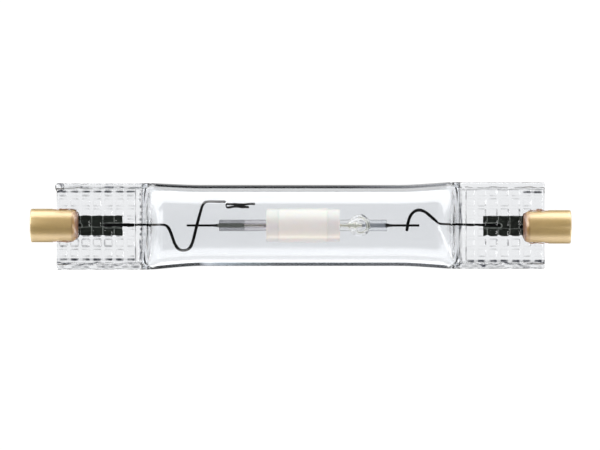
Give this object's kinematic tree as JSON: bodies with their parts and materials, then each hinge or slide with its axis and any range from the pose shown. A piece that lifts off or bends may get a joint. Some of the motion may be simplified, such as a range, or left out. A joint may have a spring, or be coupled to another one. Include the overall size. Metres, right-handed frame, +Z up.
{
  "type": "metal halide lamp",
  "caption": "Double-ended metal halide lamp: quartz tube pinched flat at both ends, ceramic arc tube inside, slotted ceramic caps with recessed contacts.",
  "frame": {"origin": "the point of the table under the middle of the lamp, which lies on its glass", "axes": "+X along the lamp's axis towards the right cap, +Y across the flat of the pinches, +Z up, square to the flat of the pinches and through the exhaust tip's side"},
  "size_m": [0.1176, 0.019, 0.0193],
  "materials": {
    "fused_quartz": "clear, fire polished",
    "cap_ceramic": "satin, buff coloured",
    "cement": "matt",
    "contact_metal": "nickel plated",
    "molybdenum": "drawn wire, dark",
    "molybdenum_foil": "etched foil, dark",
    "niobium": "drawn wire, dark",
    "sealing_frit": "glassy, dark",
    "tungsten": "drawn wire",
    "alumina": "sintered, translucent white",
    "getter_metal": "dull grey strip",
    "halide_salts": "condensed salts"
  },
  "bodies": {
    "root": {"quartz_envelope": "fused_quartz", "arc_tube_body": "alumina", "left_end_plug": "alumina", "right_end_plug": "alumina", "left_capillary": "alumina", "right_capillary": "alumina", "halide_dose": "halide_salts", "left_cap": "cap_ceramic", "right_cap": "cap_ceramic", "left_contact": "contact_metal", "right_contact": "contact_metal", "left_cement": "cement", "right_cement": "cement", "left_outer_lead": "molybdenum", "right_outer_lead": "molybdenum", "left_foil": "molybdenum_foil", "right_foil": "molybdenum_foil", "left_inner_lead": "molybdenum", "right_inner_lead": "molybdenum", "left_niobium_wire": "niobium", "right_niobium_wire": "niobium", "left_frit_seal": "sealing_frit", "right_frit_seal": "sealing_frit", "left_molybdenum_rod": "molybdenum", "right_molybdenum_rod": "molybdenum", "left_electrode_rod": "tungsten", "right_electrode_rod": "tungsten", "left_electrode_coil": "tungsten", "right_electrode_coil": "tungsten", "getter": "getter_metal"}
  },
  "joints": []
}
